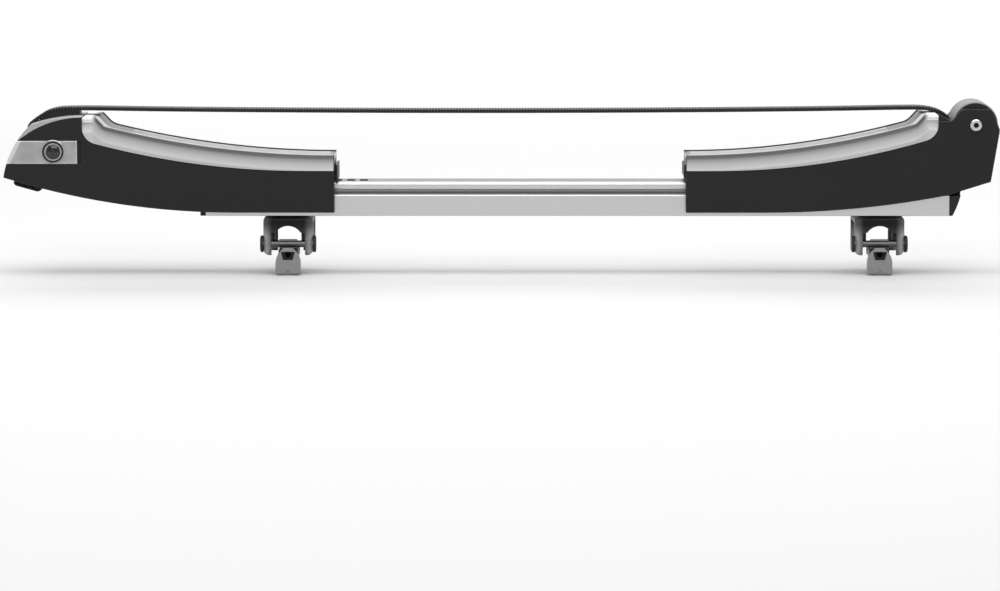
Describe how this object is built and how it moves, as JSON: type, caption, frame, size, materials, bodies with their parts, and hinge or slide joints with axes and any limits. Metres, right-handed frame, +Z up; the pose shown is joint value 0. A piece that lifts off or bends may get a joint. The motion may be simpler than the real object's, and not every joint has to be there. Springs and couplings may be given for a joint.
{
  "type": "paddleboard roof carrier",
  "caption": "Lockable roof carrier bar for paddleboards: padded upswept arms on an aluminium rail, a cam-held strap, a loading roller and clamp feet for a crossbar.",
  "frame": {"origin": "on the top face of the roof crossbar, midway between the two clamp feet", "axes": "+X along the rail towards the roller, +Y to the side of the fixed hooks, +Z up"},
  "size_m": [0.9963, 0.08, 0.1728],
  "materials": {
    "anodised_rail": "satin anodised extrusion",
    "black_plate": "fine moulded grain",
    "black_core": "plain moulded",
    "black_trim": "satin moulded",
    "pad_shell": "soft matt moulding",
    "grip_mat": "fine ribbed, matt",
    "nose_grey": "satin moulded",
    "button_grey": "satin moulded",
    "bright_ring": "polished",
    "lock_steel": "dark brushed",
    "webbing": "woven webbing",
    "zinc_steel": "zinc plated",
    "black_steel": "black oxide",
    "spring_steel": "drawn wire",
    "acetal": "natural, slightly glossy",
    "roller_rubber": "matt, grooved",
    "cast_foot": "satin powder coat on a casting",
    "seat_rubber": "matt",
    "link_grey": "satin powder coat"
  },
  "bodies": {
    "base": {"rail": "anodised_rail", "rail_cap_left": "black_trim", "rail_cap_right": "black_trim", "right_pad": "pad_shell", "right_grip_mat": "grip_mat", "right_arm_core": "black_core", "right_near_plate": "black_plate", "right_far_plate": "black_plate", "right_plate_screws": "zinc_steel", "right_arm_bolts": "zinc_steel", "right_inner_cap": "black_trim", "strap_span": "webbing", "strap_anchor_pin": "zinc_steel", "roller_axle": "zinc_steel", "roller_axle_nut": "zinc_steel", "left_foot_saddle": "cast_foot", "left_foot_seat_pad": "seat_rubber", "left_foot_tee_bolt": "zinc_steel", "left_foot_tee_nut": "zinc_steel", "left_foot_rod": "black_steel", "left_foot_rod_caps": "black_trim", "right_foot_saddle": "cast_foot", "right_foot_seat_pad": "seat_rubber", "right_foot_tee_bolt": "zinc_steel", "right_foot_tee_nut": "zinc_steel", "right_foot_rod": "black_steel", "right_foot_rod_caps": "black_trim"},
    "left_arm": {"left_pad": "pad_shell", "left_grip_mat": "grip_mat", "left_arm_core": "black_core", "rail_glides": "acetal", "left_near_plate": "black_plate", "left_far_plate": "black_plate", "left_plate_screws": "zinc_steel", "nose_cover": "nose_grey", "strap_guide": "black_trim", "strap_nose": "webbing", "strap_tail": "webbing", "cam_pin": "zinc_steel", "cam_spring": "spring_steel", "latch_pin": "zinc_steel", "latch_spring": "spring_steel"},
    "width_latch": {"width_latch": "black_trim"},
    "release_button": {"release_button": "button_grey", "lock_bezel": "bright_ring", "lock_barrel": "black_trim"},
    "lock_plug": {"lock_plug": "lock_steel"},
    "strap_cam": {"strap_cam": "zinc_steel"},
    "roller": {"roller_hub": "black_core", "roller_tread": "roller_rubber", "roller_bushes": "acetal"},
    "left_jaw": {"left_foot_clamp_link": "link_grey", "left_foot_clamp_jaw": "cast_foot", "left_foot_jaw_bolt": "black_steel", "left_foot_jaw_pad": "seat_rubber"},
    "right_jaw": {"right_foot_clamp_link": "link_grey", "right_foot_clamp_jaw": "cast_foot", "right_foot_jaw_bolt": "black_steel", "right_foot_jaw_pad": "seat_rubber"}
  },
  "joints": [
    {"name": "arm_slide", "type": "slide", "parent": "base", "child": "left_arm", "axis": [1, 0, 0], "range_m": [-0.026, 0.052], "deforming": ["strap_span"]},
    {"name": "width_latch_lift", "type": "hinge", "parent": "left_arm", "child": "width_latch", "pos_m": [-0.335, 0, 0.047], "axis": [0, -1, 0], "range_deg": [0, 3.2], "stiffness_Nm_per_rad": 1.5, "springref_deg": -3.44, "deforming": ["latch_spring"]},
    {"name": "release_button_press", "type": "slide", "parent": "left_arm", "child": "release_button", "axis": [1, 0, 0], "range_m": [0, 0.005], "stiffness_N_per_m": 600, "springref_m": -0.004},
    {"name": "lock_turn", "type": "hinge", "parent": "release_button", "child": "lock_plug", "pos_m": [-0.531, -0.02, 0.074], "axis": [0, 1, 0], "range_deg": [0, 90]},
    {"name": "strap_cam_lift", "type": "hinge", "parent": "left_arm", "child": "strap_cam", "pos_m": [-0.5409, 0, 0.056], "axis": [0, 1, 0], "range_deg": [0, 40], "stiffness_Nm_per_rad": 0.15, "springref_deg": -20.05},
    {"name": "roller_spin", "type": "hinge", "parent": "base", "child": "roller", "pos_m": [0.3913, 0, 0.101], "axis": [0, 1, 0], "continuous": true},
    {"name": "left_jaw_swing", "type": "hinge", "parent": "base", "child": "left_jaw", "pos_m": [-0.2968, -0.022, -0.0195], "axis": [-1, 0, 0], "range_deg": [0, 95]},
    {"name": "right_jaw_swing", "type": "hinge", "parent": "base", "child": "right_jaw", "pos_m": [0.2968, -0.022, -0.0195], "axis": [-1, 0, 0], "range_deg": [0, 95]}
  ]
}
